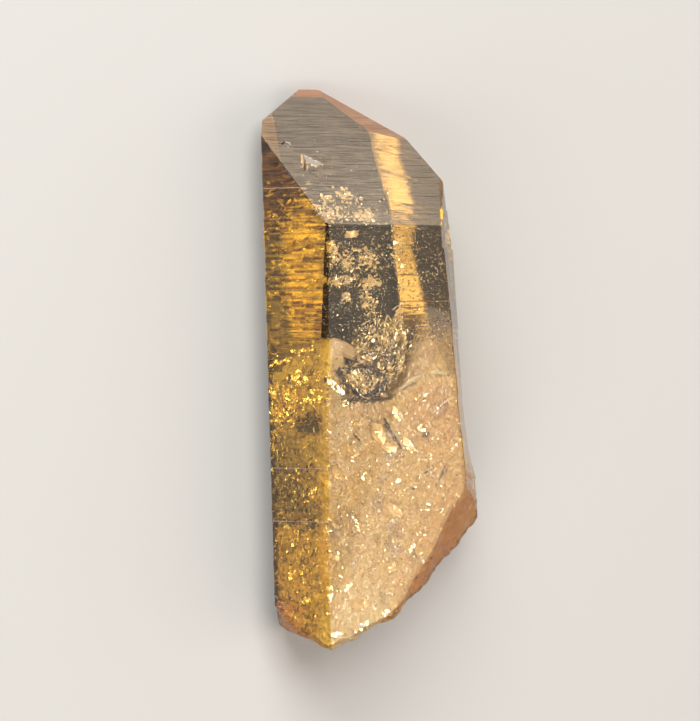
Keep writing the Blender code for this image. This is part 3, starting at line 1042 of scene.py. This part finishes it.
# The largest bright cracks: their place, radius, slimness and direction in (x, y), in mm and degrees.
LARGE_CRACKS = (
    ((-1.0, -21.6), 1.0, 0.5, 5),
    ((-4.2, -20.8), 0.9, 0.6, 80),
    ((-3.0, -21.4), 0.8, 0.5, 60),
    ((-3.6, -23.6), 0.9, 0.4, 85),
    ((-1.8, -19.4), 0.8, 0.4, 40),
    ((-0.6, -20.4), 0.8, 0.4, 10),
    ((1.3, -20.0), 1.4, 0.28, -52),
    ((2.6, -22.0), 0.5, 0.7, 10),
    ((9.2, -23.0), 1.5, 0.3, -55),
    ((11.1, -27.0), 1.6, 0.3, -57),
    ((13.0, -25.0), 0.6, 0.8, -20),
    ((5.0, -31.0), 0.8, 0.35, 70),
    ((9.7, -31.5), 0.4, 0.8, 0),
    ((4.1, -36.9), 1.1, 0.22, -65),
    ((3.0, -44.6), 0.9, 0.25, 50),
    ((0.6, -45.6), 1.3, 0.18, 86),
    ((11.7, -39.9), 0.7, 0.5, 70),
    ((-2.6, -43.2), 0.6, 0.5, 85),
    ((-1.6, -46.4), 0.6, 0.6, 60),
    ((-1.0, -33.0), 0.6, 0.4, 80),
    ((-3.4, -16.9), 1.2, 0.25, 30),
    ((-1.6, -15.4), 1.0, 0.25, 12),
    ((-2.2, -18.4), 1.1, 0.3, 60),
    ((-4.4, -22.6), 0.8, 0.5, 85),
    ((8.0, -47.9), 0.8, 0.4, 20),
    ((5.0, -49.4), 0.8, 0.4, 30),
    ((1.4, -50.4), 0.8, 0.5, 20),
)
# Dark iron films in cracks, given in the same way.
DARK_CRACKS = (
    ((8.5, -25.0), 3.2, 0.1, -57),
    ((13.4, -25.9), 0.6, 0.5, 10),
    ((-1.2, -25.2), 0.9, 0.5, 0),
    ((4.3, -26.4), 0.8, 0.14, -50),
    ((15.6, -31.0), 1.6, 0.08, 62),
    ((17.0, -34.5), 1.2, 0.08, 55),
)


SPLINTERS = 16  # in each large crack


def large_cracks(tree, rng, cracks):
    """Each large crack is broken into splinters that nearly face the same way."""
    groups = [(("bright", "healed"), *crack) for crack in LARGE_CRACKS]
    groups += [(("stained", "stained"), *crack) for crack in DARK_CRACKS]
    for (most, some), place, radius, slimness, turn in groups:
        along, across = directions(turn)
        for _ in range(SPLINTERS):
            size = radius * rng.uniform(0.12, 0.45)
            spot = Vector((*place, 0.0)) + along * rng.uniform(-0.8, 0.8) * radius
            spot += across * rng.uniform(-0.8, 0.8) * radius * slimness
            deep = rng.uniform(0.1, 0.3) if spot.x < SIDE_EDGE else rng.uniform(0.4, 0.6)
            spot = under(tree, spot.x, spot.y, deep + 0.4 * size)
            to = cracks[some if rng.random() < 0.3 else most]
            way = leaning(rng, 0.0, 7.0, glinting(spot))
            if has_room(tree, spot, size):
                slim = slimness * rng.uniform(0.7, 1.8)
                add_sheet(to, spot, way, size, rng, slim, 0.12, along, fine=SPLINTER_FINENESS)


LEAST_DEPTH = 0.02


def drop_strays(tree, bm):
    """Takes away each crack that comes too near the crystal's surface or out through it."""
    reached = [v for v in bm.verts if inside_depth(tree, to_mm(v.co)) < LEAST_DEPTH]
    stray = set()
    while reached:
        vert = reached.pop()
        if vert not in stray:
            stray.add(vert)
            reached.extend(edge.other_vert(vert) for edge in vert.link_edges)
    bmesh.ops.delete(bm, geom=list(stray), context="VERTS")


CRACK_SEED = 5


def cracks_inside(tree, solid):
    """All cracks in the clear quartz: a piece for each kind, and one for each kind of small fleck."""
    rng = random.Random(CRACK_SEED)
    makers = (air_in_cracks, pearly_cracks, bright_cracks, iron_stain)
    materials = {name: make() for name, make in zip(CRACK_KINDS, makers)}
    cracks = {name: bmesh.new() for name in CRACK_KINDS}
    flecks = {name: bmesh.new() for name in CRACK_KINDS if name != "stained"}
    skin_cracks(tree, rng, cracks)
    skin_sheets(tree, rng, cracks)
    fleck_clouds(rng, flecks)
    dust(tree, rng, flecks)
    pit_rims(solid, rng, flecks)
    hollow_shards(tree, rng, cracks)
    large_cracks(tree, rng, cracks)
    for word, pieces in (("cracks", cracks), ("flecks", flecks)):
        for name, bm in pieces.items():
            drop_strays(tree, bm)
            bmesh.ops.recalc_face_normals(bm, faces=bm.faces)
            add_piece(f"{name}_{word}", bm, materials[name])


# ---- Surroundings ----

FLOOR_REACH, FLOOR_GAP = 1.5, 0.05 * MM  # in metres


def floor(mat):
    bm = bmesh.new()
    bmesh.ops.create_grid(bm, x_segments=1, y_segments=1, size=FLOOR_REACH)
    bmesh.ops.translate(bm, verts=bm.verts, vec=(0, 0, -FLOOR_GAP))
    obj = add_mesh("floor", bm, mat)


def soft_panel(name, away, size, radiance, tint):
    """A square soft light that faces the crystal from a direction."""
    data = bpy.data.lights.new(name, "AREA")
    data.shape = "SQUARE"
    data.size = size
    data.energy = radiance * math.pi * size * size
    data.color = colour(tint)[:3]
    obj = link(bpy.data.objects.new(name, data))
    away = Vector(away).normalized()
    obj.location = away * PANEL_DISTANCE
    obj.rotation_mode = "QUATERNION"
    obj.rotation_quaternion = away.to_track_quat("Z", "Y")


# The crystal turns what is seen through it: its top face shows the top panel in a golden band beside its
# underside, which is painted dark as painted shade, its tip face the root panel, and its broken inside
# glitters with the others. Each panel has its direction, size in metres, radiance and tint.
PANELS = (
    ("top_panel", (0.50, -0.17, 0.85), 0.22, 1.9, "FFE0C2"),
    ("sheen_panel", (0.402, 0.0, 0.916), 0.2, 0.7, "FFF2E4"),
    ("root_panel", (0.43, -0.62, 0.66), 0.3, 2.5, "FFE0C2"),
    ("tip_panel", (0.40, 0.89, 0.20), 0.2, 1.8, "FFE8CC"),
    ("left_panel", (-0.62, -0.55, 0.56), 0.4, 5.0, "FFFFFF"),
    ("side_panel", (-0.35, 0.68, 0.64), 0.4, 8.0, "FFFFFF"),
    ("overhead_panel", (-0.2, 0.28, 0.94), 0.3, 10.4, "FFFFFF"),
    ("right_panel", (0.85, -0.1, 0.52), 0.5, 1.5, "FFFFFF"),
)


def lighting():
    world = bpy.data.worlds.new("studio")
    world.use_nodes = True
    back = world.node_tree.nodes["Background"]
    back.inputs["Color"].default_value = colour("F4F6FA")
    back.inputs["Strength"].default_value = 0.24
    bpy.context.scene.world = world
    for panel in PANELS:
        soft_panel(*panel)


def camera():
    tilt = math.radians(CAMERA_TILT)
    away = Vector((-math.sin(tilt), 0.0, math.cos(tilt)))
    data = bpy.data.cameras.new("camera")
    data.sensor_width = SENSOR_MM
    data.lens = SENSOR_MM * CAMERA_DISTANCE / (max(IMAGE_SIZE) * PIXEL_MM)
    data.clip_start, data.clip_end = 0.01, 10.0
    obj = link(bpy.data.objects.new("camera", data))
    obj.location = at(*CAMERA_AIM) + away * CAMERA_DISTANCE * MM
    right, up = Vector((math.cos(tilt), 0.0, math.sin(tilt))), Vector((0.0, 1.0, 0.0))
    obj.rotation_mode = "QUATERNION"
    obj.rotation_quaternion = Matrix((right, up, away)).transposed().to_quaternion()
    bpy.context.scene.camera = obj


def main():
    scene = bpy.context.scene
    scene.view_settings.view_transform = "Standard"
    scene.cycles.max_bounces = 32
    scene.cycles.transmission_bounces = 32
    scene.cycles.glossy_bounces = 32
    scene.cycles.diffuse_bounces = 8
    plain = cad_mesh()
    crushed = crushed_quartz()
    milky_heart(BVHTree.FromBMesh(plain), crushed)
    plain.free()
    fracture_lips(crushed)
    point = crystal_mesh()
    cracks_inside(BVHTree.FromBMesh(point), point)
    add_piece("golden_quartz_point", point, golden_aura_quartz(), NODE)
    floor(pale_table())
    lighting()
    camera()


main()
